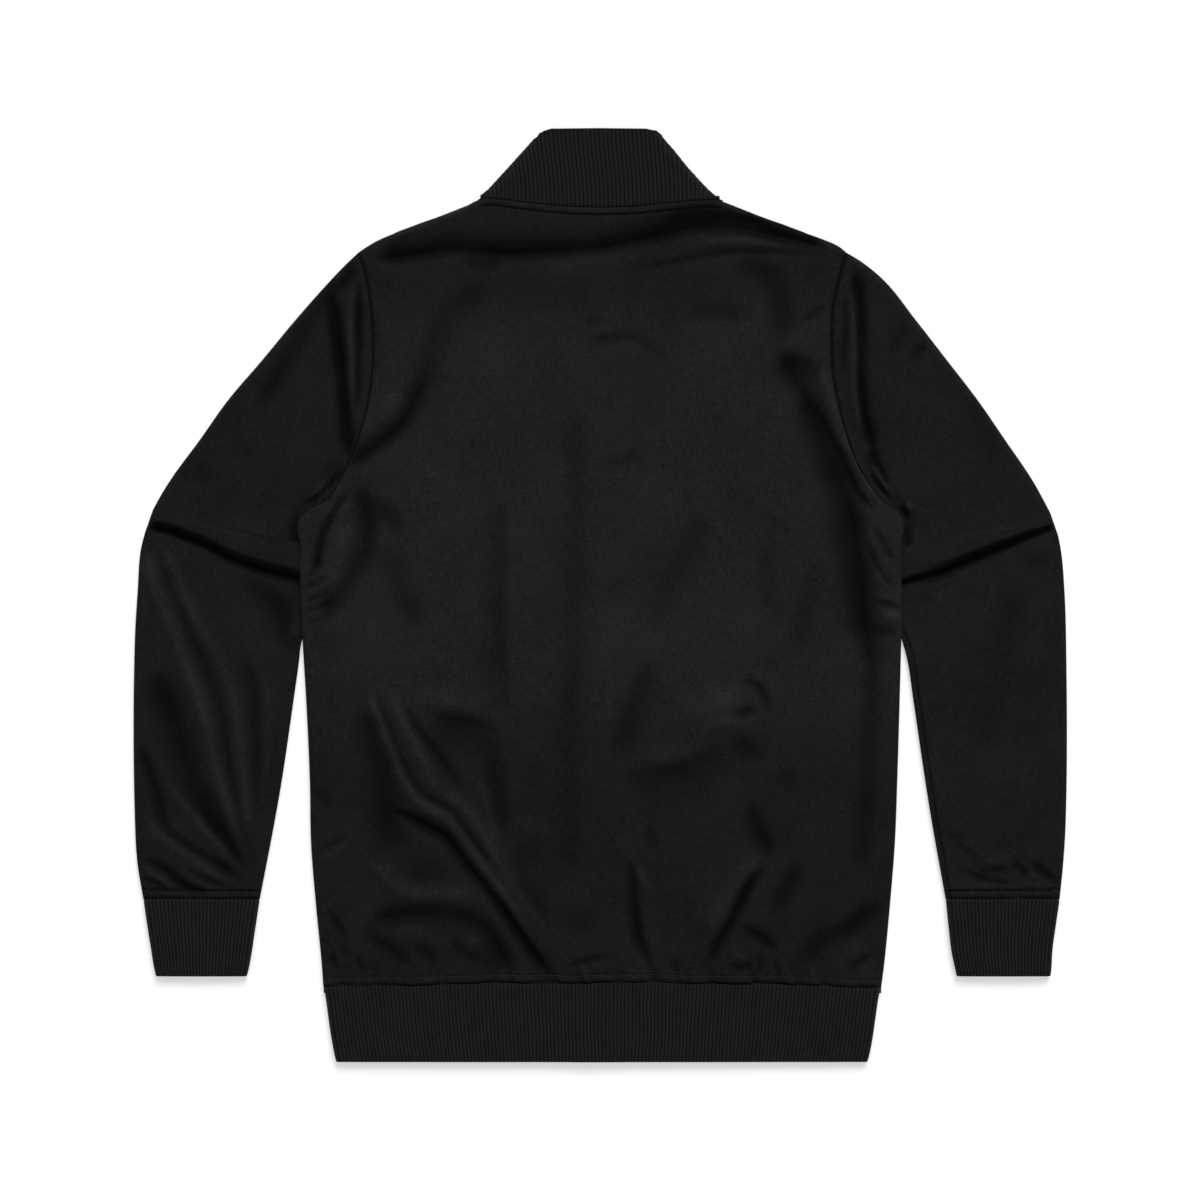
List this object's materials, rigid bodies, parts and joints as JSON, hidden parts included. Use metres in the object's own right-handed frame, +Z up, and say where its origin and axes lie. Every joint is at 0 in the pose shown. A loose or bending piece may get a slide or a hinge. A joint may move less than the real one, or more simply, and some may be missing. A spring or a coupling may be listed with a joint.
{
  "type": "bomber jacket",
  "caption": "Long-sleeved zip-front bomber jacket with rib-knit stand collar, cuffs and hem, laid flat on its front with the sleeves folded down beside the body.",
  "frame": {"origin": "middle of the laid jacket's outline, on the surface it lies on", "axes": "+X to the right of the back as seen from above, +Y from the hem to the collar, +Z up from the surface, through fronts and back"},
  "size_m": [0.7852, 0.7856, 0.0126],
  "materials": {
    "twill": "matt black woven twill",
    "rib_knit": "matt black rib knit",
    "zip_tape": "matt black woven tape",
    "zip_metal": "dark oxidised"
  },
  "bodies": {
    "jacket": {"back": "twill", "front_left": "twill", "front_right": "twill", "sleeve_left": "twill", "sleeve_right": "twill", "cuff_left": "rib_knit", "cuff_right": "rib_knit", "hem_rib": "rib_knit", "collar": "rib_knit", "zip_tape_left": "zip_tape", "zip_tape_right": "zip_tape", "zip_chain": "zip_metal", "zip_slider": "zip_metal"},
    "zip_pull": {"zip_pull": "zip_metal"}
  },
  "joints": [
    {"name": "zip_pull_hinge", "type": "hinge", "parent": "jacket", "child": "zip_pull", "pos_m": [0, 0.248, 0.00168], "axis": [1, 0, 0], "range_deg": [0, 180]}
  ]
}
